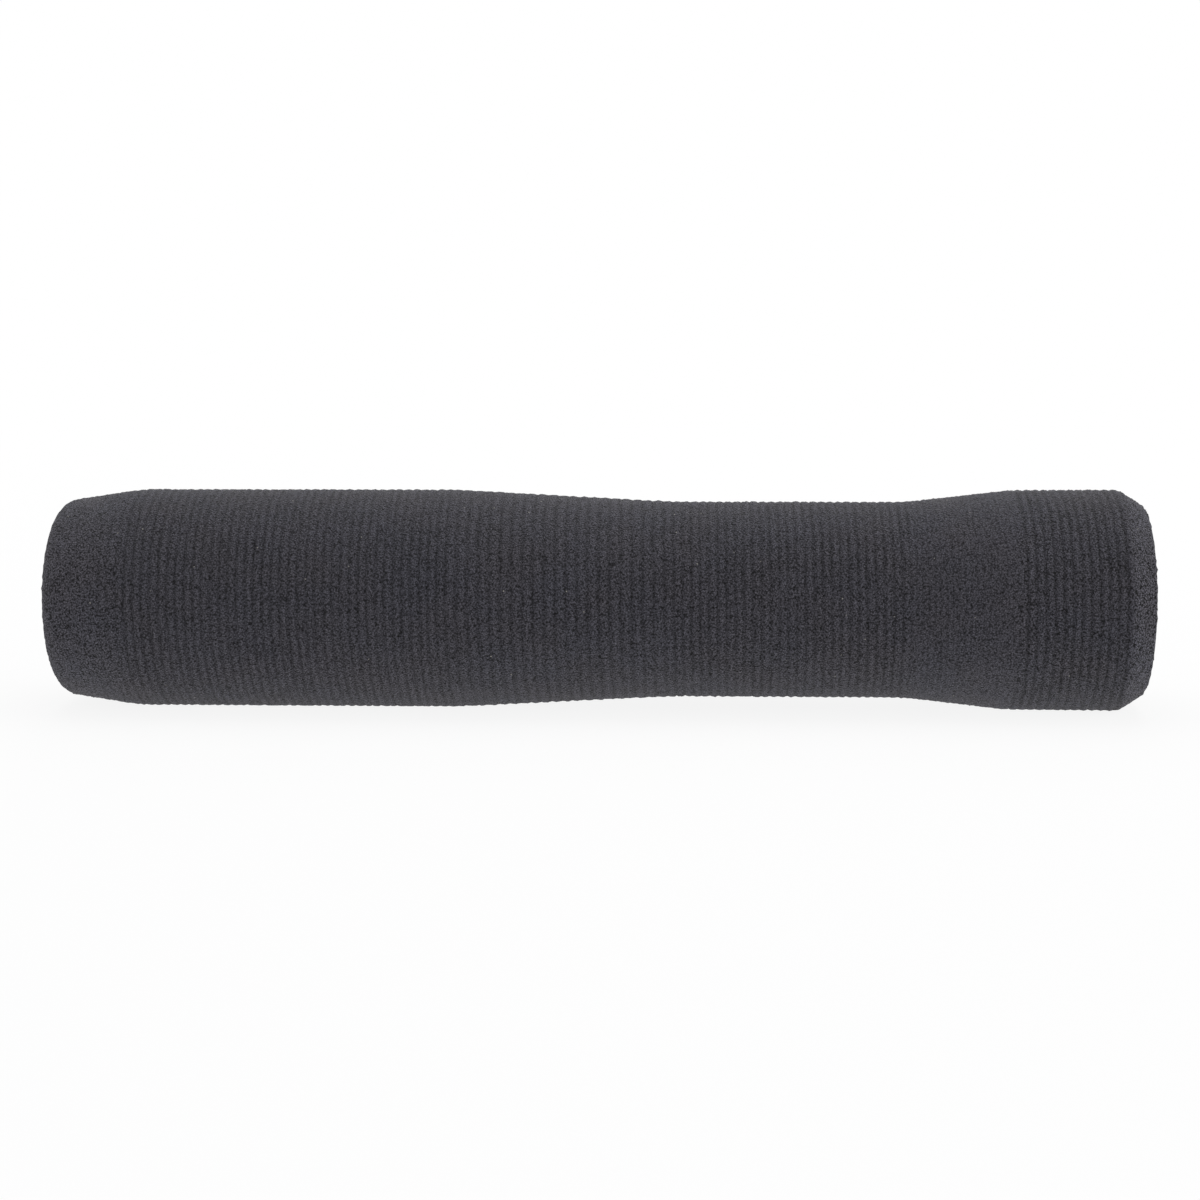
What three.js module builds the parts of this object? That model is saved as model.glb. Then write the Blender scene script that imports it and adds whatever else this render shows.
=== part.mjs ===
import * as THREE from 'three';

// A slip-on grip for a bicycle handlebar: one sleeve of black foam rubber, turned and ground
// to a thick barrel for the palm, a waist for the fingers and a flared collar for the thumb.
// Millimetres, +Z up. The bore's axis is X and the origin is its middle. -X is the outer end,
// where the bar's end plug goes, and +X is the inner end, which butts against the brake lever.
// The sleeve lies on its side. Its fine turning marks are texture, and aren't in this solid.

// Lengths along the bore, from the outer end to the inner one.
const outerTaperLength = 9.8;
const barrelLength = 38.4;
const coneLength = 25.6; // from the barrel down to the waist
const waistLength = 27.9;
const flareLength = 12.6; // from the waist up to the collar
const collarLength = 12.8;
const chamferLength = 2.9;

// Diameters. The two faces are given where their edges would be if they weren't rounded.
const outerFaceDiameter = 23.2;
const barrelDiameter = 26.2;
const waistDiameter = 23.4;
const collarDiameter = 26.25; // where the flare ends
const collarRimDiameter = 26.4; // where the chamfer starts
const innerFaceDiameter = 22.6;
const boreDiameter = 18; // relaxed, before it is stretched over the bar

// How far the soft sleeve's own weight presses a flat in the underside of its barrel.
const flatSpotDepth = 0.32;

// Radii of the arcs that round the edges and blend one stretch into the next.
const outerEdgeRadius = 2.3;
const taperBlendRadius = 28;
const barrelBlendRadius = 32;
const coneFootBlendRadius = 120;
const flareFootBlendRadius = 31;
const flareTopBlendRadius = 17;
const rimBlendRadius = 2;
const innerEdgeRadius = 0.4;

const segmentsAround = 72;
const arcTolerance = 0.008; // how far a chord may lie inside its arc
const arcRoom = 0.95; // the share of a leg that its two arcs may take

const foam = new THREE.MeshStandardMaterial({ color: 0x38373c, roughness: 0.96, metalness: 0 });

// The corners of the wall's half section, as x along the bore, the radius there and the
// blend at that corner.
function wallCorners() {
  const stretches = [
    { length: outerTaperLength, diameter: barrelDiameter, blend: taperBlendRadius },
    { length: barrelLength, diameter: barrelDiameter, blend: barrelBlendRadius },
    { length: coneLength, diameter: waistDiameter, blend: coneFootBlendRadius },
    { length: waistLength, diameter: waistDiameter, blend: flareFootBlendRadius },
    { length: flareLength, diameter: collarDiameter, blend: flareTopBlendRadius },
    { length: collarLength, diameter: collarRimDiameter, blend: rimBlendRadius },
    { length: chamferLength, diameter: innerFaceDiameter, blend: innerEdgeRadius },
  ];
  const gripLength = stretches.reduce((sum, stretch) => sum + stretch.length, 0);
  const outerEnd = -gripLength / 2;
  const innerEnd = gripLength / 2;
  const corners = [{ x: outerEnd, radius: outerFaceDiameter / 2, blend: outerEdgeRadius }];
  let x = outerEnd;
  for (const { length, diameter, blend } of stretches) {
    x += length;
    corners.push({ x, radius: diameter / 2, blend });
  }
  corners.push({ x: innerEnd, radius: boreDiameter / 2, blend: 0 });
  corners.push({ x: outerEnd, radius: boreDiameter / 2, blend: 0 });
  return corners;
}

// The points of the arc that rounds one corner, which starts and ends at the given distance
// from the corner, on its two legs.
function cornerArc(before, corner, after, tangent) {
  if (tangent === 0) return [corner];
  const turn = cornerTurn(before, corner, after);
  const radius = tangent / Math.tan(turn / 2);
  const start = before.clone().sub(corner).setLength(tangent).add(corner);
  const end = after.clone().sub(corner).setLength(tangent).add(corner);
  const inward = start.clone().add(end).divideScalar(2).sub(corner);
  const centre = inward.setLength(radius / Math.cos(turn / 2)).add(corner);
  const spoke = start.clone().sub(centre);
  const sweep = Math.sign(spoke.cross(end.clone().sub(centre))) * turn;
  const steps = Math.ceil(turn / Math.sqrt((8 * arcTolerance) / radius));
  const points = [];
  for (let step = 0; step <= steps; step++) {
    points.push(spoke.clone().rotateAround(new THREE.Vector2(), (sweep * step) / steps).add(centre));
  }
  return points;
}

// How far an outline turns at a corner.
function cornerTurn(before, corner, after) {
  return Math.PI - before.clone().sub(corner).angleTo(after.clone().sub(corner));
}

// The closed half section as a lathe takes it: the radius in x, the place along the bore in y.
// Where the arcs of two neighbouring corners don't fit on the leg between them, both shrink.
function wallOutline() {
  const corners = wallCorners();
  const points = corners.map(({ x, radius }) => new THREE.Vector2(radius, x));
  const before = (i) => points.at(i - 1);
  const after = (i) => points[(i + 1) % points.length];
  const tangents = points.map((point, i) => {
    return corners[i].blend * Math.tan(cornerTurn(before(i), point, after(i)) / 2);
  });
  const shares = points.map((point, i) => {
    const wanted = tangents[i] + tangents[(i + 1) % points.length];
    return Math.min(1, (arcRoom * point.distanceTo(after(i))) / wanted);
  });
  const outline = points.flatMap((point, i) => {
    return cornerArc(before(i), point, after(i), tangents[i] * Math.min(shares.at(i - 1), shares[i]));
  });
  return [...outline, outline[0].clone()];
}

// Half a segment of turn puts a facet of the sleeve at the bottom, where it lies.
function sleeve() {
  const geometry = new THREE.LatheGeometry(wallOutline(), segmentsAround, Math.PI / segmentsAround);
  geometry.rotateZ(-Math.PI / 2);
  pressFlatSpot(geometry);
  const mesh = new THREE.Mesh(geometry, foam);
  mesh.name = 'handlebar_grip';
  return mesh;
}

// Everything that would reach below the flat spot is raised to it, so the collar gets one too.
function pressFlatSpot(geometry) {
  const lowest = flatSpotDepth - barrelDiameter / 2;
  const { position } = geometry.attributes;
  for (let i = 0; i < position.count; i++) {
    position.setZ(i, Math.max(position.getZ(i), lowest));
  }
}

const grip = new THREE.Group();
grip.add(sleeve());

export default grip;
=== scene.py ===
import math

import bpy
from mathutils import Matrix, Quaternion, Vector


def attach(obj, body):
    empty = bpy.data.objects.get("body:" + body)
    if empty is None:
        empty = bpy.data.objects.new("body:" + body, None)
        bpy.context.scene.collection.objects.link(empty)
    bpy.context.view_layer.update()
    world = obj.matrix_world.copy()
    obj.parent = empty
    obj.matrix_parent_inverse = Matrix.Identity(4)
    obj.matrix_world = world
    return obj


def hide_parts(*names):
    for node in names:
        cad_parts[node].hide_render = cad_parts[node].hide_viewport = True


mm = 0.001  # the dictionaries give sizes in millimetres, and this makes metres of them

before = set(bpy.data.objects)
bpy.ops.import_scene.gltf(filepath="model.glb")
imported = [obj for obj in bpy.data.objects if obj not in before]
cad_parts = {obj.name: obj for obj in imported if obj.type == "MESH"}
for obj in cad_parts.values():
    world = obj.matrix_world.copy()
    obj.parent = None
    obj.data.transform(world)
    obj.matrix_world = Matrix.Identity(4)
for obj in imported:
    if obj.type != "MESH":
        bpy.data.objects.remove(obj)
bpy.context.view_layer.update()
print("frame loaded")


# Node trees. An input is given by its name or its number, as a value or as the socket to link.
def addNode(tree, kind, inputs=None, **settings):
    node = tree.nodes.new(kind)
    for name, value in settings.items():
        setattr(node, name, value)
    for name, value in (inputs or {}).items():
        if isinstance(value, bpy.types.NodeSocket):
            tree.links.new(value, node.inputs[name])
        else:
            node.inputs[name].default_value = value
    return node


def calc(tree, operation, *values, clamp=False):
    return addNode(tree, "ShaderNodeMath", dict(enumerate(values)), operation=operation,
                   use_clamp=clamp).outputs[0]


def total(tree, *values):
    result = values[0]
    for value in values[1:]:
        result = calc(tree, "ADD", result, value)
    return result


def product(tree, *values):
    result = values[0]
    for value in values[1:]:
        result = calc(tree, "MULTIPLY", result, value)
    return result


# The sleeve's wall, as the solid has it. Each stretch of the skin, from the outer end (-X) to the
# inner one (+X), has the diameter and the blend radius at its far end, how far one turn of the
# cutter goes (feed), how strongly the turning marks it, at its start and at its end, and how
# strong its crumbs are.
sleeve = {
    "stretches": {
        "taper": {"length": 9.8, "diameter": 26.2, "blend": 28,
                  "feed": 1.016, "marks": (0.05, 0.65), "crumbs": 1.2},
        "barrel": {"length": 38.4, "diameter": 26.2, "blend": 32,
                   "feed": 1.016, "marks": (1.15, 1.15), "crumbs": 1},
        "cone": {"length": 25.6, "diameter": 23.4, "blend": 120,
                 "feed": 1.27, "marks": (1.05, 1.05), "crumbs": 1.02},
        "waist": {"length": 27.9, "diameter": 23.4, "blend": 31,
                  "feed": 1.016, "marks": (1.15, 1.15), "crumbs": 1.05},
        "flare": {"length": 12.6, "diameter": 26.25, "blend": 17,
                  "feed": 0.68, "marks": (0.65, 0.25), "crumbs": 0.95},
        "collar": {"length": 12.8, "diameter": 26.4, "blend": 2,
                   "feed": 1.03, "marks": (1.34, 1.34), "crumbs": 1.1},
        "chamfer": {"length": 2.9, "diameter": 22.6, "blend": 0.4,
                    "feed": 1.03, "marks": (0, 0), "crumbs": 1.55},
    },
    "outerFaceDiameter": 23.2,
    "outerEdgeRadius": 2.3,
    "boreDiameter": 18,
    "boreLipRadius": 0.2,
    "flatSpotDepth": 0.32,  # pressed in the barrel's underside by the sleeve's own weight
    "plainEnd": 5.2,  # this much of the outer end is ground smooth
    "fadeIn": 1.4,  # and over this much more the marks come in
    "facesPerTurn": 5,  # along the skin, for each turn of the marks
    "arcStep": 0.2,  # the longest face on a rounded corner
    "faceStep": 0.45,  # the same on the two end faces
    "boreStep": 3.5,  # and in the bore
}
stretches = list(sleeve["stretches"].values())

# The relief of the skin. These are the inputs of the node tree below.
turning = {
    "Faces around": 136,
    "Mark depth": 0.1,
    "Wander": 0.16,  # how far a mark strays to either side, in turns
    "Wander size": 3.2,
    "Unevenness": 0.55,  # how much the strength of the marks varies
    "Unevenness size": 5,
    "Crumb depth": 0.2,
    "Crumb size": 0.45,
    "Noise roughness": 0.6,
    "Flat spot height": sleeve["stretches"]["barrel"]["diameter"] / 2 - sleeve["flatSpotDepth"],
    "Seed": 7,
}
plainInputs = ("Faces around", "Wander", "Unevenness", "Noise roughness", "Seed")  # not lengths


def gripLength():
    return sum(stretch["length"] for stretch in stretches)


def cornerTurn(before, corner, after):
    return math.pi - (before - corner).angle(after - corner)


# The points of the arc that rounds a corner, from one of its legs to the other.
def cornerArc(before, corner, after, blend):
    turn = cornerTurn(before, corner, after)
    toBefore, toAfter = (before - corner).normalized(), (after - corner).normalized()
    centre = corner + (toBefore + toAfter).normalized() * blend / math.cos(turn / 2)
    tangent = blend * math.tan(turn / 2)
    first = (corner + toBefore * tangent - centre).normalized()
    last = (corner + toAfter * tangent - centre).normalized()
    faces = math.ceil(blend * turn / min(sleeve["arcStep"], blend / 4))  # 4 to a radian at least
    return [centre + first.slerp(last, face / faces) * blend for face in range(faces + 1)]


# The closed half section, as points with x along the bore and y the radius.
def sectionPoints():
    bore, lip = sleeve["boreDiameter"] / 2, sleeve["boreLipRadius"]
    x = -gripLength() / 2
    corners = [(Vector((x, sleeve["outerFaceDiameter"] / 2)), sleeve["outerEdgeRadius"])]
    steps = []
    for stretch in stretches:
        x += stretch["length"]
        corners.append((Vector((x, stretch["diameter"] / 2)), stretch["blend"]))
        steps.append(stretch["feed"] / sleeve["facesPerTurn"])
    corners += [(Vector((x, bore)), lip), (Vector((-x, bore)), lip)]
    steps += [sleeve["faceStep"], sleeve["boreStep"], sleeve["faceStep"]]
    places = [place for place, blend in corners]
    after = places[1:] + places[:1]
    arcs = [cornerArc(places[i - 1], corner, after[i], blend)
            for i, (corner, blend) in enumerate(corners)]
    points = []
    for arc, nextArc, step in zip(arcs, arcs[1:] + arcs[:1], steps):
        gap = nextArc[0] - arc[-1]
        faces = max(1, round(gap.length / step))
        points += arc + [arc[-1] + gap * face / faces for face in range(1, faces)]
    return points


# How the turning marks the skin at x: turns for each millimetre, strength, and crumbs.
def marksAt(x):
    start = -gripLength() / 2
    fade = min(max((x - start - sleeve["plainEnd"]) / sleeve["fadeIn"], 0), 1)
    for stretch in stretches:
        share = (x - start) / stretch["length"]
        if share <= 1:
            break
        start += stretch["length"]
    first, last = stretch["marks"]
    strength = (first + (last - first) * min(max(share, 0), 1)) * fade
    return 1 / stretch["feed"], strength, stretch["crumbs"]


onSkin, onEndFace, inBore = 0, 1, 2  # the sides of the wall


# The section as a loop of edges. Its points know how many turns lie behind them, how strong the
# marks and the crumbs are there, and on which side of the wall they are.
def sectionLoop():
    points = sectionPoints()
    nearEnd = gripLength() / 2 - 0.01  # a hair inside the end face
    nearBore = sleeve["boreDiameter"] / 2 + sleeve["boreLipRadius"] / 2
    mesh = bpy.data.meshes.new("section")
    edges = [(i, (i + 1) % len(points)) for i in range(len(points))]
    mesh.from_pydata([(x * mm, 0, radius * mm) for x, radius in points], edges, [])
    known = {"turns": [], "marks": [], "crumbs": [], "side": []}
    passed, lastX = 0, points[0].x
    for x, radius in points:
        perLength, strength, coarseness = marksAt(x)
        passed += (x - lastX) * perLength
        lastX = x
        side = onEndFace if abs(x) > nearEnd else inBore if radius < nearBore else onSkin
        known["turns"].append(passed)
        known["marks"].append(strength if side == onSkin else 0)
        known["crumbs"].append(1 if side == onEndFace else coarseness)
        known["side"].append(side)
    for name, values in known.items():
        mesh.attributes.new(name, "FLOAT", "POINT").data.foreach_set("value", values)
    return mesh


# Turns the section round the bore and works the marks of the turning into its skin.
def turnedSleeveTree():
    tree = bpy.data.node_groups.new("turnedSleeve", "GeometryNodeTree")
    tree.is_modifier = True

    def addInput(name, kind):
        tree.interface.new_socket(name, in_out="INPUT", socket_type="NodeSocket" + kind)

    addInput("Section", "Geometry")
    for name in turning:
        addInput(name, "Int" if name in ("Faces around", "Seed") else "Float")
    addInput("Skin", "Material")
    addInput("Bore skin", "Material")
    tree.interface.new_socket("Sleeve", in_out="OUTPUT", socket_type="NodeSocketGeometry")
    given = addNode(tree, "NodeGroupInput").outputs

    def read(name):
        return addNode(tree, "GeometryNodeInputNamedAttribute", {"Name": name},
                       data_type="FLOAT").outputs["Attribute"]

    def store(geometry, name, value):
        return addNode(tree, "GeometryNodeStoreNamedAttribute",
                       {"Geometry": geometry, "Name": name, "Value": value},
                       data_type="FLOAT", domain="POINT").outputs[0]

    def place(geometry, **inputs):
        return addNode(tree, "GeometryNodeSetPosition",
                       {"Geometry": geometry, **inputs}).outputs[0]

    position = addNode(tree, "GeometryNodeInputPosition").outputs[0]
    xyz = addNode(tree, "ShaderNodeSeparateXYZ", {0: position}).outputs

    # Smooth noise from -1 to 1, with lumps of the given size. Each shift gives another noise.
    def noise(size, detail, shift):
        node = addNode(tree, "ShaderNodeTexNoise", {
            "Vector": position, "W": calc(tree, "ADD", given["Seed"], shift),
            "Scale": calc(tree, "DIVIDE", 1, size), "Detail": detail,
            "Roughness": given["Noise roughness"],
        }, noise_dimensions="4D")
        return calc(tree, "MULTIPLY_ADD", node.outputs[0], 2, -1)

    section = store(given["Section"], "along", xyz["X"])
    section = store(section, "reach", xyz["Z"])
    profile = addNode(tree, "GeometryNodeMeshToCurve", {0: section}).outputs[0]
    ring = addNode(tree, "GeometryNodeCurvePrimitiveCircle",
                   {"Resolution": given["Faces around"], "Radius": 1.0}).outputs[0]
    index = addNode(tree, "GeometryNodeInputIndex").outputs[0]
    ring = store(ring, "around", calc(tree, "DIVIDE", index, given["Faces around"]))
    wall = addNode(tree, "GeometryNodeCurveToMesh",
                   {"Curve": ring, "Profile Curve": profile}).outputs[0]

    angle = calc(tree, "MULTIPLY", read("around"), 2 * math.pi)
    wall = place(wall, Position=addNode(tree, "ShaderNodeCombineXYZ", {
        "X": read("along"),
        "Y": product(tree, read("reach"), calc(tree, "SINE", angle)),
        "Z": product(tree, read("reach"), calc(tree, "COSINE", angle)),
    }).outputs[0])

    # A mark is a low round ridge between two narrow notches, and the ridges run on as one thread.
    strayed = product(tree, noise(given["Wander size"], detail=1.0, shift=0), given["Wander"])
    phase = total(tree, read("turns"), read("around"), strayed)
    across = calc(tree, "MULTIPLY_ADD", calc(tree, "FRACT", phase), 2, -1)
    notch = calc(tree, "POWER", across, 2)
    uneven = calc(tree, "MULTIPLY_ADD", noise(given["Unevenness size"], detail=2.0, shift=10),
                  given["Unevenness"], 1)
    strength = product(tree, read("marks"), uneven)
    # Kept for the foam's colour, which paints shade into the notches.
    wall = store(wall, "notch", product(tree, notch, strength))
    meanNotch = 1 / 3  # with it taken off, the marks leave the wall as thick as it was
    height = product(tree, calc(tree, "SUBTRACT", meanNotch, notch), strength,
                     given["Mark depth"])
    outside = calc(tree, "SUBTRACT", 1, read("side"), clamp=True)
    crumbs = product(tree, noise(given["Crumb size"], detail=2.0, shift=20),
                     given["Crumb depth"], read("crumbs"), outside)
    normal = addNode(tree, "GeometryNodeInputNormal").outputs[0]
    wall = place(wall, Offset=addNode(tree, "ShaderNodeVectorMath", {
        0: normal, "Scale": total(tree, height, crumbs)}, operation="SCALE").outputs[0])

    lowest = calc(tree, "MULTIPLY", given["Flat spot height"], -1)
    wall = place(wall, Position=addNode(tree, "ShaderNodeCombineXYZ", {
        "X": xyz["X"], "Y": xyz["Y"], "Z": calc(tree, "MAXIMUM", xyz["Z"], lowest)}).outputs[0])

    wall = addNode(tree, "GeometryNodeSetShadeSmooth", {"Geometry": wall}).outputs[0]
    wall = addNode(tree, "GeometryNodeRealizeInstances", {0: wall}).outputs[0]
    wall = addNode(tree, "GeometryNodeSetMaterial",
                   {"Geometry": wall, "Material": given["Skin"]}).outputs[0]
    pastLip = onEndFace + 0.6  # a face of the lip lies half way between the two sides
    moulded = calc(tree, "GREATER_THAN", read("side"), pastLip)
    wall = addNode(tree, "GeometryNodeSetMaterial", {
        "Geometry": wall, "Selection": moulded, "Material": given["Bore skin"]}).outputs[0]
    addNode(tree, "NodeGroupOutput", {0: wall})
    return tree


# The foam, ground on the outside: fine crumbs with pores between them, painted shade that darkens
# the notches of the turning, patches that are a little warmer or bluer, and a few pale specks of
# dust.
foam = {
    "dark": (0.002, 0.0019, 0.0024),  # in a pore
    "light": (0.153, 0.149, 0.181),  # on top of a crumb
    "warm": (1.03, 1.0, 0.97),  # the patches' tints
    "blue": (0.99, 1.0, 1.01),
    "dust": (0.25, 0.24, 0.22),
    "crumbSize": 0.21,
    "crumbRoundness": 1.1,  # how far a crumb falls off towards its edge
    "crumbShare": 0.45,  # of the relief, and the rest is grain
    "grainSize": 0.2,
    "grainDetail": 2.0,
    "heights": (0.2, 0.8),  # of the deepest pore and of the highest crumb
    "crumbContrast": 1.45,
    "meanShade": 0.32,  # from dark to light, and coarse crumbs vary more about it
    "patchSize": 7,
    "patchDetail": 3.0,
    "patchRange": (0.35, 0.65),  # of the patches' noise, from blue to warm
    "noiseRoughness": 0.6,
    "dustSpacing": 2.4,
    "dustRadius": 0.09,
    "paintedNotchShade": 0.43,  # how much painted shade darkens a notch
    "bumpHeight": 0.27,
    "roughness": 0.93,
    "specularLevel": 0.2,
    "sheenWeight": 0.09,
    "sheenRoughness": 0.5,
}

# The skin of the bore, which was moulded and isn't ground.
boreSkin = {
    "colour": (0.02, 0.0195, 0.021),
    "grainSize": 0.5,
    "grainDetail": 3.0,
    "grainRange": (0.3, 0.7),
    "shadeRange": (0.6, 1.5),  # what that range multiplies the colour by
    "noiseRoughness": 0.6,
    "bumpHeight": 0.07,
    "roughness": 0.7,
    "specularLevel": 0.3,
}


def newMaterial(name):
    material = bpy.data.materials.new(name)
    material.use_nodes = True
    material.node_tree.nodes.clear()
    return material, material.node_tree


# A Mix node has its float sockets at 2 and 3, and its colour sockets at 6 and 7.
def mixValues(tree, factor, first, second):
    return addNode(tree, "ShaderNodeMix", {0: factor, 2: first, 3: second}).outputs[0]


def mixColours(tree, factor, first, second, blend="MIX"):
    rgba = [(*colour, 1) if isinstance(colour, tuple) else colour for colour in (first, second)]
    return addNode(tree, "ShaderNodeMix", {0: factor, 6: rgba[0], 7: rgba[1]},
                   data_type="RGBA", blend_type=blend).outputs[2]


def noiseOf(tree, place, size, detail, roughness):
    return addNode(tree, "ShaderNodeTexNoise", {
        "Vector": place, "Scale": 1 / (size * mm), "Detail": detail, "Roughness": roughness,
    }, noise_dimensions="3D").outputs[0]


# How far a place is from the middle of its cell, for cells of the given size, in cells.
def cellsOf(tree, place, size):
    return addNode(tree, "ShaderNodeTexVoronoi", {
        "Vector": place, "Scale": 1 / (size * mm)}, feature="F1").outputs["Distance"]


# Stretches one range of values to another, and cuts off what lies outside.
def stretched(tree, value, fromRange, toRange=(0, 1)):
    return addNode(tree, "ShaderNodeMapRange", {
        "Value": value, "From Min": fromRange[0], "From Max": fromRange[1],
        "To Min": toRange[0], "To Max": toRange[1]}).outputs[0]


def bumpOf(tree, height, depth):
    return addNode(tree, "ShaderNodeBump", {
        "Height": height, "Distance": depth * mm, "Strength": 1.0}).outputs[0]


def groundFoamMaterial():
    material, tree = newMaterial("groundFoam")
    place = addNode(tree, "ShaderNodeTexCoord").outputs["Object"]
    notch = addNode(tree, "ShaderNodeAttribute", attribute_name="notch").outputs["Fac"]
    coarseness = addNode(tree, "ShaderNodeAttribute", attribute_name="crumbs").outputs["Fac"]

    crumb = calc(tree, "MULTIPLY_ADD", cellsOf(tree, place, foam["crumbSize"]),
                 -foam["crumbRoundness"], 1.0)
    grain = noiseOf(tree, place, foam["grainSize"], foam["grainDetail"], foam["noiseRoughness"])
    height = total(tree, product(tree, crumb, foam["crumbShare"]),
                   product(tree, grain, 1 - foam["crumbShare"]))

    shade = calc(tree, "POWER", stretched(tree, height, foam["heights"]), foam["crumbContrast"])
    shade = calc(tree, "MULTIPLY_ADD", calc(tree, "SUBTRACT", shade, foam["meanShade"]),
                 coarseness, foam["meanShade"], clamp=True)
    # Painted shade: the colour is made darker in the notches of the turning.
    paintedShadeFactor = calc(tree, "MULTIPLY_ADD", notch, -foam["paintedNotchShade"], 1, clamp=True)
    shade = product(tree, shade, paintedShadeFactor)
    colour = mixColours(tree, shade, foam["dark"], foam["light"])

    patch = noiseOf(tree, place, foam["patchSize"], foam["patchDetail"], foam["noiseRoughness"])
    tint = mixColours(tree, stretched(tree, patch, foam["patchRange"]), foam["blue"], foam["warm"])
    colour = mixColours(tree, 1.0, colour, tint, "MULTIPLY")

    isDust = calc(tree, "LESS_THAN", cellsOf(tree, place, foam["dustSpacing"]),
                  foam["dustRadius"] / foam["dustSpacing"])
    colour = mixColours(tree, isDust, colour, foam["dust"])

    surface = addNode(tree, "ShaderNodeBsdfPrincipled", {
        "Base Color": colour, "Normal": bumpOf(tree, height, foam["bumpHeight"]),
        "Roughness": foam["roughness"], "Specular IOR Level": foam["specularLevel"],
        "Sheen Weight": foam["sheenWeight"], "Sheen Roughness": foam["sheenRoughness"]}).outputs[0]
    addNode(tree, "ShaderNodeOutputMaterial", {"Surface": surface})
    return material


def boreSkinMaterial():
    material, tree = newMaterial("boreSkin")
    place = addNode(tree, "ShaderNodeTexCoord").outputs["Object"]
    grain = noiseOf(tree, place, boreSkin["grainSize"], boreSkin["grainDetail"],
                    boreSkin["noiseRoughness"])
    shade = stretched(tree, grain, boreSkin["grainRange"], boreSkin["shadeRange"])
    colour = mixColours(tree, 1.0, boreSkin["colour"], shade, "MULTIPLY")
    surface = addNode(tree, "ShaderNodeBsdfPrincipled", {
        "Base Color": colour, "Normal": bumpOf(tree, grain, boreSkin["bumpHeight"]),
        "Roughness": boreSkin["roughness"],
        "Specular IOR Level": boreSkin["specularLevel"]}).outputs[0]
    addNode(tree, "ShaderNodeOutputMaterial", {"Surface": surface})
    return material


def makeSleeve():
    piece = bpy.data.objects.new("foam_sleeve", sectionLoop())
    bpy.context.scene.collection.objects.link(piece)
    tree = turnedSleeveTree()
    modifier = piece.modifiers.new("turnedSleeve", "NODES")
    modifier.node_group = tree
    values = {name: value if name in plainInputs else value * mm
              for name, value in turning.items()}
    values.update({"Skin": groundFoamMaterial(), "Bore skin": boreSkinMaterial()})
    for item in tree.interface.items_tree:
        if item.name in values:
            modifier[item.identifier] = values[item.name]
    graph = bpy.context.evaluated_depsgraph_get()
    mesh = bpy.data.meshes.new_from_object(piece.evaluated_get(graph))
    piece.modifiers.remove(modifier)
    piece.data = mesh
    mesh.name = "foam_sleeve"
    return piece


gripSleeve = makeSleeve()
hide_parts("handlebar_grip")
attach(gripSleeve, "root")
print("sleeve turned:", len(gripSleeve.data.polygons), "faces")


# A plain white studio. The background is white to the camera, and the lamps only light the grip.
studio = {
    "floorSize": 8000,
    "floorColour": (0.85, 0.85, 0.85),
    "floorGlow": 0.88,  # how much of what the camera sees of the floor is plain white
    "shadeReach": 100,  # up to this far from the grip's middle
    "plainFrom": 500,  # and further off than this, all of it is
    "tableGlow": 1.0,  # how much the floor lights the grip from below, as a light table does
    "worldColour": (1.0, 1.0, 1.02),
    "worldStrength": 0.5,
    "lamps": {  # all of them face the middle of the grip
        "topLamp": {"place": (0, 250, 900), "size": 900, "watts": 4.2},
        "rightLamp": {"place": (800, -100, 350), "size": 600, "watts": 2.85},
        "leftLamp": {"place": (-800, 0, 350), "size": 600, "watts": 0.6},
        "backLamp": {"place": (0, 900, 300), "size": 900, "watts": 3.0},
    },
}
plainWhite = (1, 1, 1, 1)


# 1 for what the camera sees, straight, in a gloss or through glass, and 0 for diffuse light.
def seenDirectly(tree):
    path = addNode(tree, "ShaderNodeLightPath").outputs
    seen = calc(tree, "MAXIMUM", path["Is Camera Ray"], path["Is Glossy Ray"])
    return calc(tree, "MAXIMUM", seen, path["Is Transmission Ray"])


def makeFloor():
    half = studio["floorSize"] / 2 * mm
    z = min(vertex.co.z for vertex in gripSleeve.data.vertices)
    mesh = bpy.data.meshes.new("floor")
    mesh.from_pydata([(-half, -half, z), (half, -half, z), (half, half, z), (-half, half, z)],
                     [], [(0, 1, 2, 3)])
    material, tree = newMaterial("whiteFloor")
    matt = addNode(tree, "ShaderNodeBsdfDiffuse",
                   {"Color": (*studio["floorColour"], 1)}).outputs[0]
    glow = addNode(tree, "ShaderNodeEmission", {"Color": plainWhite, "Strength": 1.0}).outputs[0]
    place = addNode(tree, "ShaderNodeTexCoord").outputs["Object"]
    away = addNode(tree, "ShaderNodeVectorMath", {0: place}, operation="LENGTH").outputs["Value"]
    white = stretched(tree, away, (studio["shadeReach"] * mm, studio["plainFrom"] * mm),
                      (studio["floorGlow"], 1))
    share = mixValues(tree, seenDirectly(tree), studio["tableGlow"], white)
    surface = addNode(tree, "ShaderNodeMixShader", {0: share, 1: matt, 2: glow}).outputs[0]
    addNode(tree, "ShaderNodeOutputMaterial", {"Surface": surface})
    mesh.materials.append(material)
    floor = bpy.data.objects.new("floor", mesh)
    bpy.context.scene.collection.objects.link(floor)


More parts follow.
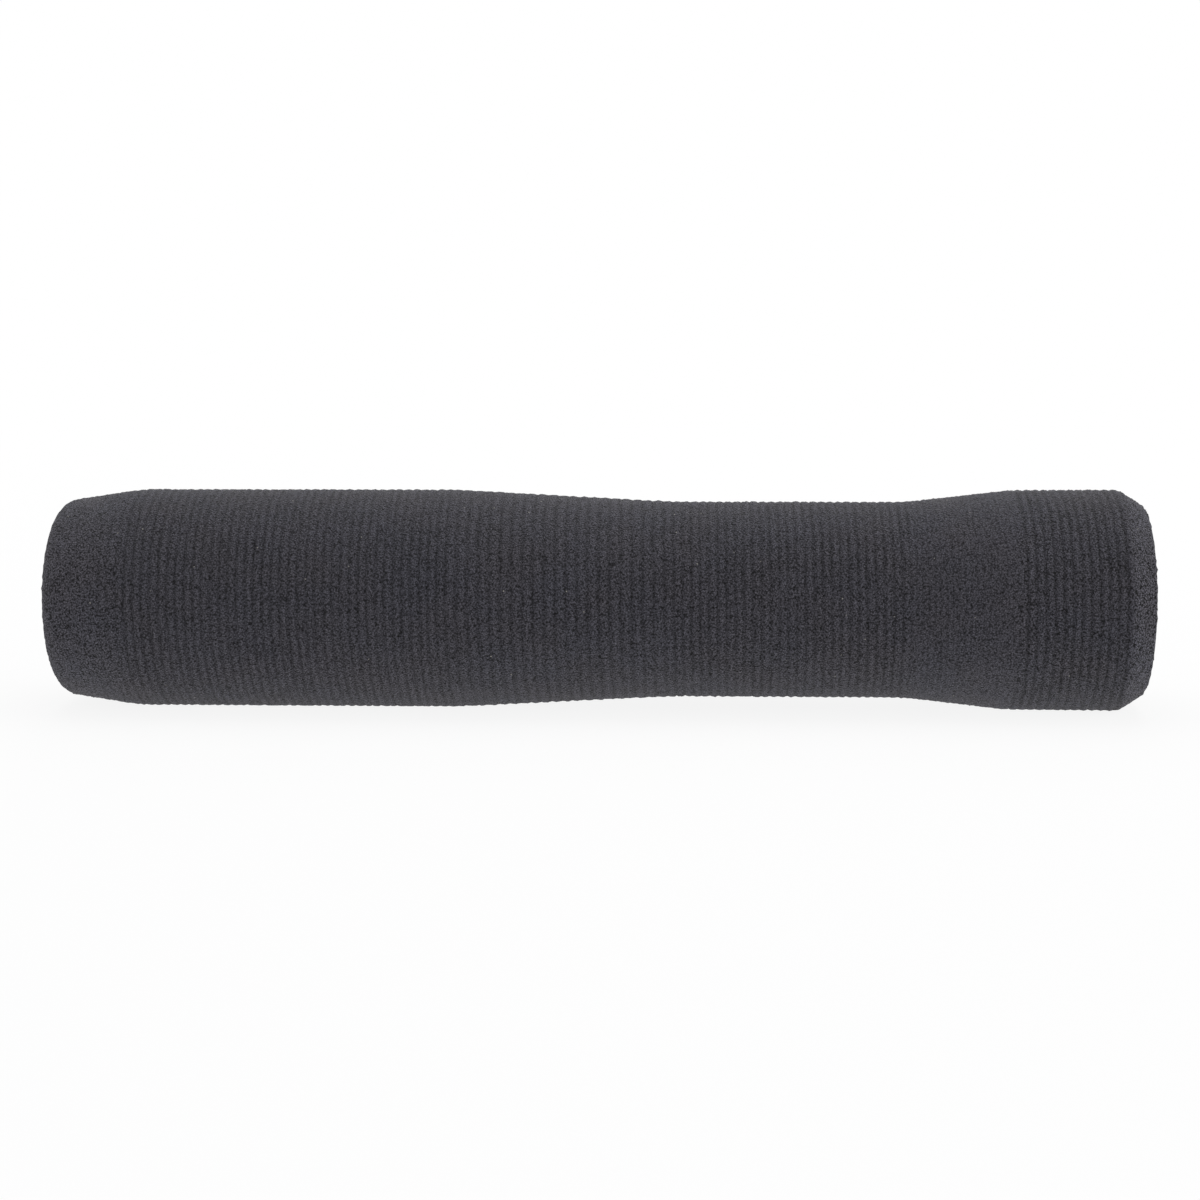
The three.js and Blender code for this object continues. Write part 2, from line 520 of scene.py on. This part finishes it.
def makeWorld():
    world = bpy.data.worlds.new("whiteStudio")
    world.use_nodes = True
    tree = world.node_tree
    tree.nodes.clear()
    light = addNode(tree, "ShaderNodeBackground", {
        "Color": (*studio["worldColour"], 1), "Strength": studio["worldStrength"]}).outputs[0]
    white = addNode(tree, "ShaderNodeBackground",
                    {"Color": plainWhite, "Strength": 1.0}).outputs[0]
    surface = addNode(tree, "ShaderNodeMixShader", {
        0: seenDirectly(tree), 1: light, 2: white}).outputs[0]
    addNode(tree, "ShaderNodeOutputWorld", {"Surface": surface})
    bpy.context.scene.world = world


def addLamp(name, place, size, watts):
    lamp = bpy.data.lights.new(name, "AREA")
    lamp.size = size * mm
    lamp.energy = watts
    holder = bpy.data.objects.new(name, lamp)
    holder.visible_camera = False
    holder.location = Vector(place) * mm
    holder.rotation_euler = (-holder.location).to_track_quat("-Z", "Y").to_euler()
    bpy.context.scene.collection.objects.link(holder)


makeFloor()
makeWorld()
for lampName, lampValues in studio["lamps"].items():
    addLamp(lampName, **lampValues)
print("studio lit")


# The camera stands where the photograph's perspective puts it.
view = {
    "lens": 71.63,
    "sensor": 36,
    "clipStart": 10,
    "distance": 288,  # from the bore's axis
    "elevation": 8,  # degrees
    "standsAt": 13.3,  # along the bore
    "aimsAt": 0.376,
    "aimsBelow": 0.163,
    "roll": -0.158,  # degrees
}


def makeCamera():
    angle = math.radians(view["elevation"])
    away = Vector((0, -math.cos(angle), math.sin(angle)))
    up = Vector((0, math.sin(angle), math.cos(angle)))
    camera = bpy.data.cameras.new("camera")
    camera.lens = view["lens"]
    camera.sensor_width = view["sensor"]
    camera.clip_start = view["clipStart"] * mm
    holder = bpy.data.objects.new("camera", camera)
    holder.location = (Vector((view["standsAt"], 0, 0)) + away * view["distance"]) * mm
    aim = (Vector((view["aimsAt"], 0, 0)) - up * view["aimsBelow"]) * mm
    turn = (aim - holder.location).to_track_quat("-Z", "Y")
    turn = turn @ Quaternion((0, 0, 1), math.radians(view["roll"]))
    holder.rotation_euler = turn.to_euler()
    bpy.context.scene.collection.objects.link(holder)
    bpy.context.scene.camera = holder


makeCamera()
bpy.context.scene.view_settings.view_transform = "Standard"
print("camera placed")
